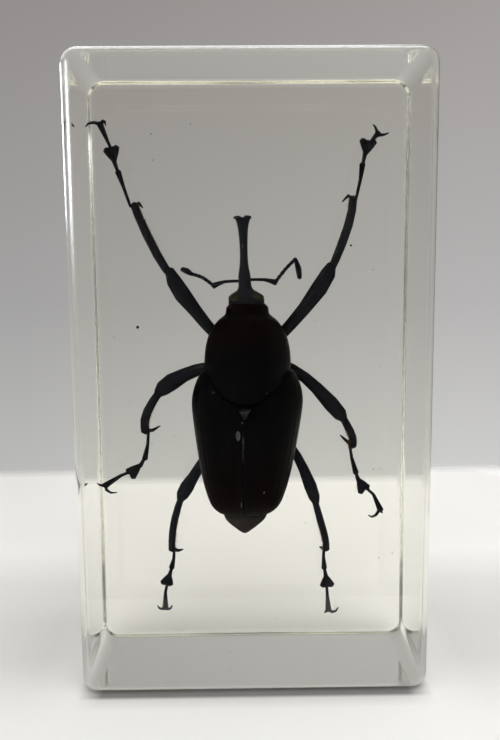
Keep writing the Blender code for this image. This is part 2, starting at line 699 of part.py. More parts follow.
def cut_pocket(half):
    """Sinks the insect's room into one half of the block."""
    cutters = [
        trunk_room("trunk room"),
        make_head("head room", room=POCKET_ROOM, sides=8, ring_count=8),
    ]
    for leg in LEGS.values():
        cutters += leg_rooms(leg)
    for antenna in ANTENNAE.values():
        cutters += antenna_rooms(antenna)
    return combine(half, cutters, "DIFFERENCE")


def build_resin():
    """The two halves of the clear block."""
    resin = make_material("clear resin", RESIN_COLOUR, RESIN_ROUGHNESS, transmission=1.0)
    for half in (make_front_half("resin_front_half", resin),
                 make_back_half("resin_back_half", resin)):
        cut_pocket(half)
        finish_shading(half)


def build_weevil():
    """The insect's plates, head, antennae and legs."""
    shell = make_material("black shell", SHELL_COLOUR, SHELL_ROUGHNESS)
    red_shell = make_material("red-black shell", RED_SHELL_COLOUR, SHELL_ROUGHNESS)
    trunk = [
        make_pronotum("pronotum", red_shell),
        make_abdomen("abdomen", red_shell),
        make_scutellum("scutellum", shell),
        make_head("head_and_rostrum", shell),
    ]
    for name, side_sign in (("elytron_left", -1), ("elytron_right", 1)):
        wing_case = make_wing_case(name, side_sign, red_shell)
        trunk.append(combine(wing_case, [make_scutellum("notch", room=PLATE_GAP)], "DIFFERENCE"))
    for name, leg in LEGS.items():
        first, *rest = leg_pieces(leg)
        limb = combine(first, rest, "UNION")
        combine(limb, [make_pronotum("shield room", room=PLATE_GAP),
                       make_abdomen("belly room", room=PLATE_GAP)], "DIFFERENCE")
        limb.name = name
        limb.data.materials.clear()
        limb.data.materials.append(shell)
        trunk.append(limb)
    for name, antenna in ANTENNAE.items():
        first, *rest = antenna_pieces(antenna)
        feeler = combine(first, rest, "UNION")
        combine(feeler, [make_head("snout room", room=PLATE_GAP)], "DIFFERENCE")
        feeler.name = name
        feeler.data.materials.clear()
        feeler.data.materials.append(shell)
        trunk.append(feeler)
    for piece in trunk:
        finish_shading(piece, angle=50)


def main():
    """Builds the whole part in an empty scene."""
    for obj in list(bpy.data.objects):
        bpy.data.objects.remove(obj)
    build_weevil()
    build_resin()


main()
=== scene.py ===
"""Looks for a large snout weevil sealed in an upright block of clear resin.

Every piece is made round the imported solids, which stand in metres with the
origin at the middle of the block's base and the front of the block towards -Y.
The insect's left is at -X.
"""
import math
import random

import bpy
from bpy.props import FloatProperty, FloatVectorProperty, IntProperty, PointerProperty
from mathutils import Matrix, Vector


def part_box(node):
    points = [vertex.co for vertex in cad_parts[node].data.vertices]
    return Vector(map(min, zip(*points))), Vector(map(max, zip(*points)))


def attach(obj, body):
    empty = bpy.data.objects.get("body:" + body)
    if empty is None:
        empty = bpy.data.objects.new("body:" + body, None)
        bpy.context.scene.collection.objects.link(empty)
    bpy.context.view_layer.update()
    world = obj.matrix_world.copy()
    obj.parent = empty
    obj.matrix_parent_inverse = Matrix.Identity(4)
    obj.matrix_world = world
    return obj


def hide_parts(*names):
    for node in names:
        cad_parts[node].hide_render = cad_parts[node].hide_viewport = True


bl_info = {
    "name": "Weevil in Clear Resin",
    "version": (1, 0, 0),
    "blender": (4, 5, 0),
    "location": "View3D > Sidebar > Weevil",
    "description": "Builds a snout weevil sealed in a clear resin block on a pale table",
    "category": "Object",
}

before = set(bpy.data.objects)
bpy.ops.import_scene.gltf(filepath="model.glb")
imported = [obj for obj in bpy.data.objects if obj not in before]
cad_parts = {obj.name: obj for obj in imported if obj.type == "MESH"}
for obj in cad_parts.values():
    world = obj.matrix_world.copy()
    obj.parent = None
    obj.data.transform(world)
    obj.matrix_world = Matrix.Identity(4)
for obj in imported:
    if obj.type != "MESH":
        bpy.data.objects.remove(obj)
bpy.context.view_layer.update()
FRONT_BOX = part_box("resin_front_half")
BACK_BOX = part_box("resin_back_half")

MM = 0.001

# The mould's draft: how far each side and the top have drawn in at the back, in mm
SIDE_DRAFT = 0.2
TOP_DRAFT = 0.25

# The face attribute that is 1 on the block's rounded edges and 0 on its flat faces
EDGE_ATTRIBUTE = "rounded_edge"

# The trunk's centre line, as the solids have it
TRUNK_X = -0.5
TRUNK_Y = -1.0
TRUNK_ROLL = 0.09
TAIL_LEAN = 0.025
TAIL_LEAN_START_Z = 36.4
TRUNK_FLATNESS = 1.35
WING_CASE_EDGE_ANGLE = math.radians(108)

# Where each shin starts and ends and where its spur points, as x, z in mm
SHINS = {
    "foreleg_left": ((-10.6, 50.0), (-14.1, 57.5), (-13.05, 57.05)),
    "foreleg_right": ((10.5, 51.0), (12.5, 58.1), (11.15, 57.6)),
    "midleg_left": ((-12.5, 33.1), (-13.45, 29.35), (-11.55, 30.15)),
    "midleg_right": ((11.9, 30.1), (12.7, 27.25), (11.1, 28.75)),
    "hindleg_left": ((-9.4, 20.0), (-10.4, 13.95), (-8.95, 14.25)),
    "hindleg_right": ((8.5, 18.7), (9.4, 13.8), (8.5, 14.2)),
}
# The middle of each foot's heart-shaped joint, x, z
HEARTS = {
    "foreleg_left": (-16.7, 64.0),
    "foreleg_right": (14.2, 64.6),
    "midleg_left": (-15.3, 24.1),
    "midleg_right": (14.1, 21.8),
    "hindleg_left": (-11.1, 9.7),
    "hindleg_right": (9.55, 9.2),
}

# Thin films of air on the insect's back and one glint on the snout, their pale colour a painted
# reflection: x, z, half width, half height
AIR_FILMS_AND_GLINTS = (
    (-1.19, 31.59, 0.13, 0.16),
    (-1.75, 30.03, 0.27, 0.58),
    (-1.12, 29.2, 0.06, 0.75),
    (-1.18, 27.7, 0.05, 0.95),
    (-1.43, 21.27, 0.1, 0.35),
    (-4.6, 35.09, 0.13, 0.12),
    (1.71, 34.96, 0.1, 0.08),
    (1.32, 22.81, 0.12, 0.16),
    # The last one is a painted glint on the snout.
    (-0.98, 52.31, 0.06, 0.22),
)

# How far to either side a film in the seam of the back looks for its shell
AIR_FILM_REACH = 0.3

# Dust sealed in the resin at half its depth: x, z and size in mm
SPECKS = (
    (-11.6, 65.4, 0.16), (-11.5, 62.4, 0.12), (14.7, 49.4, 0.14), (16.6, 49.8, 0.1),
    (7.7, 43.3, 0.1), (12.0, 52.3, 0.22), (-13.8, 42.7, 0.3), (-16.7, 41.5, 0.12),
    (-15.0, 33.4, 0.12), (-9.7, 29.2, 0.1), (-12.4, 28.3, 0.1), (4.3, 21.4, 0.1),
    (6.5, 18.0, 0.1), (15.0, 24.8, 0.14), (15.8, 24.8, 0.1), (15.8, 13.4, 0.12),
    (17.5, 14.0, 0.12), (2.9, 5.5, 0.1), (18.3, 20.7, 0.1), (-3.1, 1.2, 0.12),
    (15.7, 37.7, 0.1), (-7.0, 66.5, 0.12),
)


def colour_setting(name, description, default):
    """A colour in the sidebar."""
    return FloatVectorProperty(name=name, description=description, default=default,
                               subtype="COLOR", size=3, min=0.0, max=1.0)


def length_setting(name, description, millimetres):
    """A length in the sidebar, given in mm."""
    return FloatProperty(name=name, description=description, default=millimetres * MM,
                         min=0.0, unit="LENGTH")


def power_setting(name, description, default):
    """The power of a light in the sidebar."""
    return FloatProperty(name=name, description=description, default=default,
                         min=0.0, unit="POWER")


class ResinSettings(bpy.types.PropertyGroup):
    """Sizes and colour of the resin block."""

    corner_radius: length_setting(
        "Corner radius", "Rounding of the block's outline", 1.9)
    front_radius: length_setting(
        "Front edge", "Rounding of the edges of the front face", 1.3)
    back_radius: length_setting(
        "Back edge", "Rounding of the edges of the back face", 0.6)
    edge_haze: FloatProperty(
        name="Edge haze", description="Roughness of the hand-polished rounded edges",
        default=0.2, min=0.0, max=1.0)
    seam_depth: length_setting(
        "Seam depth", "Depth of the hairline between the two pours", 0.03)
    refraction: FloatProperty(
        name="Refraction", description="How strongly the resin bends light",
        default=1.49, min=1.0, max=2.5)
    tint: colour_setting(
        "Tint", "Colour that light takes on in a long way of resin", (0.90, 0.87, 0.45))
    tint_density: FloatProperty(
        name="Tint density", description="How fast the resin takes up light, per metre",
        default=6.0, min=0.0)


class ShellSettings(bpy.types.PropertyGroup):
    """Colours and detail of the insect."""

    black: colour_setting(
        "Black", "Colour of the trunk's hard black plates", (0.0022, 0.0022, 0.0026))
    red: colour_setting(
        "Red-brown", "Colour where the shell is thin and lets light in",
        (0.0052, 0.0018, 0.0016))
    limb: colour_setting(
        "Limb", "Slate black of the legs, the snout and the antennae",
        (0.0165, 0.0172, 0.022))
    tail: colour_setting("Tail", "Grey-brown of the tail plate", (0.034, 0.028, 0.026))
    # The rim colour is laid on more strongly to the right, partly as painted light.
    rim: colour_setting(
        "Rim", "Colour of the wing cases' thin outer rim", (0.03, 0.013, 0.010))
    hair: colour_setting("Hair", "Colour of the golden hair on the legs", (0.36, 0.17, 0.05))
    eye: colour_setting("Eye", "Colour of the eyes", (0.036, 0.035, 0.02))
    groove_count: IntProperty(
        name="Grooves", description="Lengthwise grooves on each wing case",
        default=9, min=1, max=20)
    groove_depth: length_setting("Groove depth", "Depth of those grooves", 0.05)
    hairs_per_shin: IntProperty(
        name="Hairs", description="Hairs in the fringe of each shin",
        default=150, min=0, max=2000)


class StageSettings(bpy.types.PropertyGroup):
    """The table, the light and the camera."""

    table: colour_setting("Table", "Colour of the table top", (0.80, 0.79, 0.77))
    shadow: FloatProperty(
        name="Shadow", description="Share of light in the dim band beside the block",
        default=0.82, min=0.0, max=1.0)
    table_gap: length_setting(
        "Table gap", "Film of air between the block and the table", 0.03)
    table_edge: length_setting(
        "Table edge", "How far behind the block's middle the table ends", 89.5)
    wall_low: colour_setting(
        "Wall low", "Colour of the wall just above the table", (0.555, 0.552, 0.545))
    wall_middle: colour_setting(
        "Wall middle", "Colour of the wall behind the insect", (0.418, 0.410, 0.409))
    wall_high: colour_setting(
        "Wall high", "Colour of the wall at the top of the picture", (0.323, 0.304, 0.297))
    overhead: colour_setting(
        "Overhead", "Colour of the pale ceiling above the wall", (0.85, 0.85, 0.84))
    room_dark: colour_setting(
        "Room", "Colour of the dim room on the camera's side", (0.22, 0.22, 0.225))
    ceiling_power: power_setting("Ceiling light", "Power of the soft light above", 25.0)
    window_power: power_setting("Window light", "Power of the windows and lamps", 1.8)
    lens: FloatProperty(
        name="Lens", description="Focal length of the camera in mm",
        default=35.89, min=1.0)


def deselect_everything():
    """Leaves edit mode and clears the selection."""
    if bpy.context.object and bpy.context.object.mode != "OBJECT":
        bpy.ops.object.mode_set(mode="OBJECT")
    bpy.ops.object.select_all(action="DESELECT")


def select_only(piece):
    """Makes one object the selected and active one."""
    deselect_everything()
    piece.select_set(True)
    bpy.context.view_layer.objects.active = piece


def apply_modifier(piece, kind, **settings):
    """Adds a modifier with some settings and applies it at once."""
    modifier = piece.modifiers.new(kind.title(), kind)
    for key, value in settings.items():
        setattr(modifier, key, value)
    select_only(piece)
    bpy.ops.object.modifier_apply(modifier=modifier.name)


def select_elements(piece, kind, wanted):
    """Opens a piece in edit mode with only the elements that wanted(element) picks."""
    select_only(piece)
    bpy.ops.object.mode_set(mode="EDIT")
    bpy.ops.mesh.select_mode(type=kind)
    bpy.ops.mesh.select_all(action="DESELECT")
    bpy.ops.object.mode_set(mode="OBJECT")
    elements = {"VERT": piece.data.vertices, "EDGE": piece.data.edges,
                "FACE": piece.data.polygons}
    for element in elements[kind]:
        element.select = wanted(element)
    bpy.ops.object.mode_set(mode="EDIT")


def edit_whole(piece, operator, **settings):
    """Runs a mesh operator on all of a piece."""
    select_only(piece)
    bpy.ops.object.mode_set(mode="EDIT")
    bpy.ops.mesh.select_all(action="SELECT")
    operator(**settings)
    bpy.ops.object.mode_set(mode="OBJECT")


def share_between(value, start, end):
    """How far a value is on its way from start to end, from 0 to 1."""
    return min(max((value - start) / (end - start), 0.0), 1.0)


def reshape(piece, move):
    """Moves every point of a piece by move(x, y, z), which gives its new place in mm."""
    for vertex in piece.data.vertices:
        vertex.co = Vector(move(*(vertex.co / MM))) * MM
    piece.data.update()


def tuck_forward(piece, start_z, end_z, reach):
    """Slides a plate's front rim, in mm, under the plate before it."""
    full_pinch = 0.05

    def move(x, y, z):
        share = share_between(z, start_z, end_z) ** 2
        pinch = full_pinch * share
        return x - (x - TRUNK_X) * pinch, y - (y - TRUNK_Y) * pinch, z + reach * share

    reshape(piece, move)


def finish_piece(piece, material, slot, *nodes):
    """Gives a piece its finish and its body, and hides the nodes it stands for; the slot is not
    used.
    """
    piece.data.materials.clear()
    piece.data.materials.append(material)
    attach(piece, "root")
    if nodes:
        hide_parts(*nodes)


def place_at_origin(piece):
    """Moves a primitive's place, turn and size into its mesh."""
    select_only(piece)
    bpy.ops.object.transform_apply(location=True, rotation=True, scale=True)


def copy_of_solid(node_name, name):
    """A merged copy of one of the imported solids, ready to be refined."""
    mesh_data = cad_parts[node_name].data.copy()
    mesh_data.name = name
    piece = bpy.data.objects.new(name, mesh_data)
    bpy.context.scene.collection.objects.link(piece)
    select_only(piece)
    bpy.ops.mesh.customdata_custom_splitnormals_clear()
    bpy.ops.object.mode_set(mode="EDIT")
    bpy.ops.mesh.select_all(action="SELECT")
    bpy.ops.mesh.remove_doubles(threshold=0.001 * MM)
    bpy.ops.mesh.tris_convert_to_quads(
        face_threshold=math.radians(50), shape_threshold=math.radians(60))
    bpy.ops.object.mode_set(mode="OBJECT")
    return piece


def smooth_plate(node_name, name, swell, edge=0.0):
    """A plate of the trunk, swelled a little, with rounded edges and a smooth crown."""
    piece = copy_of_solid(node_name, name)
    edit_whole(piece, bpy.ops.transform.shrink_fatten, value=swell)
    if edge:
        apply_modifier(piece, "BEVEL", width=edge, segments=2, limit_method="ANGLE",
                       angle_limit=math.radians(55))
    apply_modifier(piece, "SUBSURF", levels=3, render_levels=3)
    select_only(piece)
    bpy.ops.object.shade_smooth()
    return piece


def smooth_limb(node_name, name, voxel, swell):
    """A leg or antenna: the solid remeshed finely, softened and swelled back."""
    piece = copy_of_solid(node_name, name)
    apply_modifier(piece, "REMESH", mode="VOXEL", voxel_size=voxel, adaptivity=0.0)
    apply_modifier(piece, "SMOOTH", factor=0.5, iterations=4)
    edit_whole(piece, bpy.ops.transform.shrink_fatten, value=swell)
    bpy.ops.object.shade_smooth()
    return piece


def scattered_copies(prototype, name, placements):
    """One mesh with a copy of a prototype at each placement; uses the prototype up."""
    source = [vertex.co.copy() for vertex in prototype.data.vertices]
    source_faces = [tuple(face.vertices) for face in prototype.data.polygons]
    points = []
    faces = []
    for placement in placements:
        start = len(points)
        points += [placement @ point for point in source]
        faces += [tuple(start + index for index in face) for face in source_faces]
    mesh_data = bpy.data.meshes.new(name)
    mesh_data.from_pydata(points, [], faces)
    mesh_data.update()
    bpy.data.objects.remove(prototype)
    piece = bpy.data.objects.new(name, mesh_data)
    bpy.context.scene.collection.objects.link(piece)
    select_only(piece)
    bpy.ops.object.shade_smooth()
    return piece


def scattered_balls(name, subdivisions, ovals):
    """One mesh with an oval ball at each place, turn and half size of ovals."""
    placements = [Matrix.Translation(place) @ turn @ Matrix.Diagonal((*halves, 1.0))
                  for place, turn, halves in ovals]
    deselect_everything()
    bpy.ops.mesh.primitive_ico_sphere_add(subdivisions=subdivisions, radius=1.0)
    return scattered_copies(bpy.context.object, name, placements)


def hair_prototype():
    """One hair a unit long on +Z, bent a little towards +X."""
    deselect_everything()
    bpy.ops.mesh.primitive_cone_add(
        vertices=4, radius1=0.5, radius2=0.06, depth=1.0, location=(0, 0, 0.5))
    hair = bpy.context.object
    place_at_origin(hair)
    edit_whole(hair, bpy.ops.mesh.bisect, plane_co=(0, 0, 0.5), plane_no=(0, 0, 1))
    select_elements(hair, "VERT", lambda vertex: vertex.co.z > 0.9)
    bpy.ops.transform.translate(value=(1.6, 0, -0.05))
    bpy.ops.object.mode_set(mode="OBJECT")
    return hair


def hair_placement(root, direction, side, length, width):
    """Stands a hair on a root, leaning along a direction and bending to a side."""
    up = direction.normalized()
    across = side.cross(up)
    across = across.normalized() if across.length > 1e-6 else up.orthogonal().normalized()
    bend = up.cross(across).normalized()
    turn = Matrix((bend, across, up)).transposed().to_4x4()
    size = Matrix.Diagonal((width, width, length, 1.0))
    return Matrix.Translation(root) @ turn @ size


def feed(tree, socket, value):
    """Links a socket to another, or gives it a number or a colour."""
    if isinstance(value, bpy.types.NodeSocket):
        tree.links.new(value, socket)
    elif socket.type == "RGBA":
        socket.default_value = (*value[:3], 1.0)
    else:
        socket.default_value = value


def fill(tree, node, **inputs):
    """Feeds a node's inputs, whose names have underscores in place of blanks."""
    for name, value in inputs.items():
        feed(tree, node.inputs[name.replace("_", " ")], value)
    return node


def new_material(name, roughness, specular):
    """A Principled finish and the shortcuts to wire it."""
    material = bpy.data.materials.new(name)
    material.use_nodes = True
    tree = material.node_tree
    shader = fill(tree, tree.nodes["Principled BSDF"],
                  Roughness=roughness, Specular_IOR_Level=specular)
    return material, tree, shader


def object_point(tree):
    """The Object coordinates socket."""
    return tree.nodes.new("ShaderNodeTexCoord").outputs["Object"]


def noise(tree, vector, scale, detail=3.0, roughness=0.5):
    """A noise texture's plain factor."""
    node = fill(tree, tree.nodes.new("ShaderNodeTexNoise"), Vector=vector,
                Scale=scale, Detail=detail, Roughness=roughness)
    return node.outputs["Fac"]


def pits(tree, vector, scale, low, high):
    """Round pits: 0 at the middle of each and 1 between them."""
    node = fill(tree, tree.nodes.new("ShaderNodeTexVoronoi"), Vector=vector, Scale=scale)
    return remap(tree, node.outputs["Distance"], low, high, 0.0, 1.0)


def remap(tree, value, from_low, from_high, to_low, to_high):
    """A clamped linear change of range."""
    node = fill(tree, tree.nodes.new("ShaderNodeMapRange"), Value=value, From_Min=from_low,
                From_Max=from_high, To_Min=to_low, To_Max=to_high)
    return node.outputs["Result"]


def calculate(tree, operation, first, second=0.0):
    """A math node on two sockets or numbers."""
    node = tree.nodes.new("ShaderNodeMath")
    node.operation = operation
    for socket, value in zip(node.inputs, (first, second)):
        feed(tree, socket, value)
    return node.outputs["Value"]


def blend_colours(tree, factor, first, second):
    """A mix of two colours or colour sockets."""
    node = tree.nodes.new("ShaderNodeMix")
    node.data_type = "RGBA"
    feed(tree, node.inputs["Factor"], factor)
    colour_inputs = [socket for socket in node.inputs if socket.type == "RGBA"]
    for socket, colour in zip(colour_inputs, (first, second)):
        feed(tree, socket, colour)
    return next(socket for socket in node.outputs if socket.type == "RGBA")


def add_bump(tree, shader, height, strength, distance):
    """Relief from a height socket."""
    node = fill(tree, tree.nodes.new("ShaderNodeBump"), Height=height,
                Strength=strength, Distance=distance)
    fill(tree, shader, Normal=node.outputs["Normal"])


def multiply(tree, first, *others):
    """The product of sockets and numbers."""
    for other in others:
        first = calculate(tree, "MULTIPLY", first, other)
    return first


def one_less(tree, value):
    """1 - value, so that a share of light becomes a share of shade."""
    return calculate(tree, "SUBTRACT", 1.0, value)


def dimmed(tree, colour, share):
    """A colour socket times a share of light."""
    node = tree.nodes.new("ShaderNodeVectorMath")
    node.operation = "SCALE"
    return fill(tree, node, Vector=colour, Scale=share).outputs["Vector"]


def paler_to_the_right(tree, colour, aside, reach, left, right):
    """A colour socket with a share of light that runs from left to right."""
    return dimmed(tree, colour, remap(tree, aside, -reach, reach, left, right))


def axis_of(tree, vector, axis):
    """One coordinate of a vector socket."""
    return fill(tree, tree.nodes.new("ShaderNodeSeparateXYZ"), Vector=vector).outputs[axis]


def make_resin_material(settings):
    """Clear, hard cast resin with a faint warm tint in its depth and hazy edges."""
    material, tree, shader = new_material("clear cast resin", 0.0, 0.5)
    edge = tree.nodes.new("ShaderNodeAttribute")
    edge.attribute_name = EDGE_ATTRIBUTE
    haze = multiply(tree, edge.outputs["Fac"], settings.edge_haze)
    fill(tree, shader, Roughness=haze, Base_Color=(1.0, 1.0, 1.0), Transmission_Weight=1.0,
         IOR=settings.refraction)
    depth = fill(tree, tree.nodes.new("ShaderNodeVolumeAbsorption"), Color=settings.tint,
                 Density=settings.tint_density)
    fill(tree, tree.nodes["Material Output"], Volume=depth.outputs["Volume"])
    return material


def make_shell_material(name, settings, redness, roughness=0.34, pit_scale=5200,
                        black=None, overlay=None):
    """Black cuticle, finely pitted, red-brown where redness(tree, point) says.

    A black replaces the settings' own, and overlay(tree, point) gives the share
    and the colour of a last layer of colour, which on the wing cases holds painted light.
    """
    material, tree, shader = new_material(name, roughness, 0.025)
    point = object_point(tree)
    mottle = noise(tree, point, 420, 4.0, 0.6)
    amount = multiply(tree, redness(tree, point), mottle, 1.7)
    colour = blend_colours(tree, amount, black or settings.black, settings.red)
    if overlay:
        share, coat = overlay(tree, point)
        colour = blend_colours(tree, share, colour, coat)
    gloss = noise(tree, point, 1500, 3.0)
    gloss = remap(tree, gloss, 0.3, 0.7, roughness - 0.08, roughness + 0.12)
    fill(tree, shader, Base_Color=colour, Roughness=gloss)
    relief = pits(tree, point, pit_scale, 0.05, 0.35)
    add_bump(tree, shader, relief, 0.35, 0.012 * MM)
    return material


def even_redness(level):
    """The same share of red-brown everywhere."""
    return lambda tree, point: level


def shield_redness(tree, point):
    """Red-brown in the upper part of the front shield."""
    return remap(tree, axis_of(tree, point, "Z"), 38.5 * MM, 42.5 * MM, 0.15, 1.0)


def tail_redness(tree, point):
    """Red-brown towards the tail."""
    return remap(tree, axis_of(tree, point, "Z"), 29.0 * MM, 20.0 * MM, 0.2, 1.0)


def make_cloudy_material(name, roughness, specular, cloud, limits, dark, pale):
    """A finish that wanders from dark to pale; cloud is a noise's scale and detail."""
    material, tree, shader = new_material(name, roughness, specular)
    pattern = noise(tree, object_point(tree), *cloud)
    colour = blend_colours(tree, remap(tree, pattern, *limits, 0.0, 1.0), dark, pale)
    fill(tree, shader, Base_Color=colour)
    return material, tree, shader, pattern


def make_hair_material(settings):
    """Golden-brown hair, paler at some tips."""
    dark = [0.45 * channel for channel in settings.hair]
    return make_cloudy_material(
        "golden hair", 0.5, 0.3, (2200, 2.0), (0.35, 0.65), dark, settings.hair)[0]


def make_eye_material(settings):
    """Olive-grey eyes with a fine net of facets."""
    material, tree, shader = new_material("eye facets", 0.35, 0.08)
    point = object_point(tree)
    net = pits(tree, point, 9000, 0.2, 0.6)
    dark = [0.45 * channel for channel in settings.eye]
    colour = blend_colours(tree, net, settings.eye, dark)
    fill(tree, shader, Base_Color=colour)
    add_bump(tree, shader, net, 0.4, 0.01 * MM)
    return material


def make_painted_glint_material():
    """Pale grey painted on the films of trapped air as their reflection of light."""
    return make_cloudy_material(
        "trapped air film", 0.4, 0.1, (2500, 4.0, 0.65), (0.38, 0.6),
        (0.045, 0.048, 0.043), (0.10, 0.105, 0.095))[0]


def make_triangle_material():
    """The small triangle of the back, its patchy grey a painted reflection of light off a film of
    trapped air.
    """
    material, tree, shader, cloud = make_cloudy_material(
        "triangle painted air sheen", 0.4, 0.08, (1700, 4.0, 0.6), (0.36, 0.58),
        (0.008, 0.009, 0.008), (0.04, 0.042, 0.038))
    add_bump(tree, shader, cloud, 0.5, 0.05 * MM)
    return material


def make_speck_material():
    """Dark dust."""
    return make_cloudy_material(
        "sealed dust", 0.7, 0.3, (900, 2.0), (0.4, 0.6),
        (0.03, 0.03, 0.03), (0.12, 0.11, 0.10))[0]


def flat_side(face):
    """Whether a face of the block looks straight along an axis."""
    straight = 0.99999
    return max(abs(component) for component in face.normal) > straight


class WEEVIL_OT_resin_block(bpy.types.Operator):
    """Casts the clear block with its rounded edges and the hairline of its seam"""

    bl_idname = "weevil.resin_block"
    bl_label = "Resin Block"

    def execute(self, context):
        settings = context.scene.weevil_resin
        low = Vector(map(min, FRONT_BOX[0], BACK_BOX[0]))
        high = Vector(map(max, FRONT_BOX[1], BACK_BOX[1]))
        deselect_everything()
        bpy.ops.mesh.primitive_cube_add(size=1.0, location=(low + high) / 2, scale=high - low)
        block = context.object
        block.name = "resin_block"
        place_at_origin(block)

        def runs_back(edge):
            start, end = (block.data.vertices[index].co for index in edge.vertices)
            return abs(start.y - end.y) > (high.y - low.y) / 2

        select_elements(block, "EDGE", runs_back)
        bpy.ops.mesh.bevel(offset=settings.corner_radius, segments=14)
        bpy.ops.object.mode_set(mode="OBJECT")
        for side, radius, steps in ((-1, settings.front_radius, 12), (1, settings.back_radius, 8)):
            select_elements(
                block, "FACE", lambda face, side=side: face.normal.y * side > 0.999)
            bpy.ops.mesh.region_to_loop()
            bpy.ops.mesh.bevel(offset=radius, segments=steps)
            bpy.ops.object.mode_set(mode="OBJECT")
        self.cut_seam(block, high, settings.seam_depth)
        select_only(block)
        bpy.ops.object.shade_smooth_by_angle(angle=math.radians(30))
        select_elements(block, "FACE", flat_side)
        bpy.ops.mesh.region_to_loop()
        bpy.ops.mesh.mark_sharp()
        bpy.ops.object.mode_set(mode="OBJECT")
        edge = block.data.attributes.new(EDGE_ATTRIBUTE, "FLOAT", "FACE")
        for face in block.data.polygons:
            edge.data[face.index].value = 0.0 if flat_side(face) else 1.0
        reshape(block, self.draw_in)
        finish_piece(block, make_resin_material(settings), "clear_resin",
                     "resin_front_half", "resin_back_half")
        return {"FINISHED"}

    @staticmethod
    def draw_in(x, y, z):
        """Narrows and lowers the block towards its back, as the mould's draft does."""
        share = share_between(y, FRONT_BOX[0].y / MM, BACK_BOX[1].y / MM)
        half_width, height = FRONT_BOX[1].x / MM, FRONT_BOX[1].z / MM
        return (x * (1 - SIDE_DRAFT * share / half_width), y,
                z * (1 - TOP_DRAFT * share / height))

    @staticmethod
    def cut_seam(block, high, depth):
        """Sinks a hairline round the block where the second pour met the first."""
        bottom_y = 7.3 * MM
        top_y = 5.4 * MM
        normal = Vector((0, high.z, bottom_y - top_y)).normalized()
        half_line = 0.1 * MM
        right_side_depth = 0.14 * MM
        for offset in (-half_line, 0.0, half_line):
            edit_whole(block, bpy.ops.mesh.bisect,
                       plane_co=(0, bottom_y + offset, 0), plane_no=normal)
        middle = Vector((0, bottom_y, 0))
        for vertex in block.data.vertices:
            if abs((vertex.co - middle).dot(normal)) > half_line / 4:
                continue
            vertex.co.x -= right_side_depth if vertex.co.x > high.x - depth else 0.0
            vertex.co.x *= 1 - depth / high.x
            vertex.co.z += depth * (1 - 2 * vertex.co.z / high.z)
        block.data.update()


class WEEVIL_OT_front_shield(bpy.types.Operator):
    """Makes the domed front shield, the pronotum"""

    bl_idname = "weevil.front_shield"
    bl_label = "Front Shield"

    def execute(self, context):
        shield = smooth_plate("pronotum", "front_shield", 0.12 * MM, 0.12 * MM)
        reshape(shield, self.round_collar)
        material = make_shell_material(
            "front shield cuticle", context.scene.weevil_shell, shield_redness)
        finish_piece(shield, material, "red_black_shell", "pronotum")
        return {"FINISHED"}

    @staticmethod
    def round_collar(x, y, z):
        """Draws the front rim of the collar in to meet the back of the head."""
        narrow = (1 - 0.085 * share_between(z, 43.6, 44.3)
                  - 0.08 * share_between(z, 44.9, 45.5) ** 2)
        middle = TRUNK_X + 0.03
        return middle + (x - middle) * narrow, TRUNK_Y + (y - TRUNK_Y) * narrow, z


class WEEVIL_OT_wing_cases(bpy.types.Operator):
    """Makes the two grooved wing cases"""

    bl_idname = "weevil.wing_cases"
    bl_label = "Wing Cases"

    def execute(self, context):
        settings = context.scene.weevil_shell

        def rim_with_painted_glow(tree, point):
            # The rim's own red-brown, laid on more strongly towards the right: partly the rim's
            # colour, partly a painted glow of light falling from the right.
            rim = remap(tree, axis_of(tree, point, "Y"), -0.9 * MM, 0.35 * MM, 0.0, 1.0)
            right = remap(tree, axis_of(tree, point, "X"), -3.0 * MM, 5.0 * MM, 0.12, 1.0)
            return multiply(tree, rim, right), settings.rim

        material = make_shell_material("wing case cuticle", settings, tail_redness,
                                       roughness=0.36, overlay=rim_with_painted_glow)
        for node, side in (("elytron_left", -1), ("elytron_right", 1)):
            case = smooth_plate(node, node.replace("elytron", "wing_case"), 0.02 * MM, 0.1 * MM)
            self.groove(case, side, settings)
            tuck_forward(case, 33.0, 36.0, 0.75)
            reshape(case, self.lift_tip)
            finish_piece(case, material, "red_black_shell", node)
        return {"FINISHED"}

    @staticmethod
    def lift_tip(x, y, z):
        """Shortens the tip of a wing case, so that the tail plate shows."""
        return x, y, z + 0.25 * share_between(z, 21.0, 19.4)

    @staticmethod
    def groove(case, side, settings):
        """Presses lengthwise rows of pits into the outer face of a wing case."""
        pit_spacing = 0.55
        row_half_width = 0.22
        least_facing = 0.4
        least_reach = 0.35
        normals = [vertex.normal.copy() for vertex in case.data.vertices]
        for vertex, normal in zip(case.data.vertices, normals):
            x, y, z = vertex.co / MM
            middle = TRUNK_X - TAIL_LEAN * max(TAIL_LEAN_START_Z - z, 0.0)
            reach = side * (x - middle - TRUNK_ROLL * (y - TRUNK_Y))
            lift = TRUNK_Y - y
            outward = Vector((side * reach / TRUNK_FLATNESS ** 2, -lift, 0)).normalized()
            facing = normal.dot(outward)
            if facing < least_facing or reach < least_reach:
                continue
            place = math.atan2(reach / TRUNK_FLATNESS, lift) / WING_CASE_EDGE_ANGLE
            row = place * settings.groove_count
            off_row = min(abs(row - round(row)) / row_half_width, 1.0)
            valley = 1 - off_row ** 2 if row > 0.5 else 0.0
            pit = 0.55 + 0.45 * math.cos(2 * math.pi * z / pit_spacing)
            fade = share_between(facing, least_facing, 0.7) * share_between(reach, 0.0, 0.8)
            vertex.co -= normal * settings.groove_depth * valley * pit * fade
        case.data.update()


class WEEVIL_OT_triangle(bpy.types.Operator):
    """Makes the small triangle at the head of the wing cases"""

    bl_idname = "weevil.triangle"
    bl_label = "Back Triangle"

    def execute(self, context):
        plate = smooth_plate("scutellum", "back_triangle", 0.04 * MM, 0.06 * MM)
        finish_piece(plate, make_triangle_material(), "black_shell", "scutellum")
        return {"FINISHED"}


